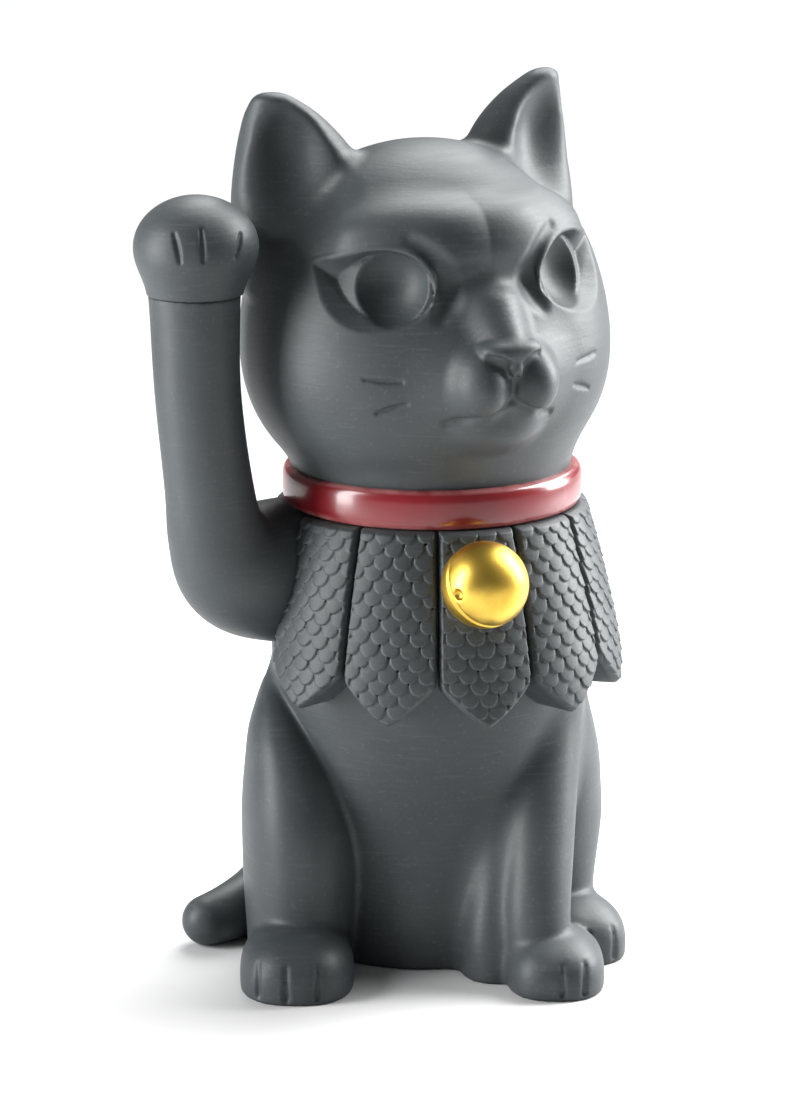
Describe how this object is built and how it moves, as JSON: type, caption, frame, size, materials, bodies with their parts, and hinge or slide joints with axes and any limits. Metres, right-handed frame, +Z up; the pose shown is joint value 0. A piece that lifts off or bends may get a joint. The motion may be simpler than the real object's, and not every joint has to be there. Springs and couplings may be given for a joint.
{
  "type": "beckoning cat figurine",
  "caption": "Seated porcelain cat figurine with one forepaw raised, a glazed neck collar, a round bell and a bib of pointed scale-textured panels.",
  "frame": {"origin": "centre of the resting face, on the axis of the torso", "axes": "+Z up, -Y the way the chest faces, +X the cat's left side"},
  "size_m": [0.1385, 0.1215, 0.2438],
  "materials": {
    "biscuit": "matte, unglazed blue-grey stain",
    "red_glaze": "glossy",
    "gold_lustre": "metallic lustre"
  },
  "bodies": {
    "root": {"body_casting": "biscuit", "head_casting": "biscuit", "raised_arm": "biscuit", "raised_paw": "biscuit", "tail": "biscuit", "bib_panel_00": "biscuit", "bib_panel_01": "biscuit", "bib_panel_02": "biscuit", "bib_panel_03": "biscuit", "bib_panel_04": "biscuit", "bib_panel_05": "biscuit", "bib_panel_06": "biscuit", "bib_panel_07": "biscuit", "bib_panel_08": "biscuit", "bib_panel_10": "biscuit", "bib_panel_11": "biscuit", "neck_collar": "red_glaze", "bell": "gold_lustre"}
  },
  "joints": []
}
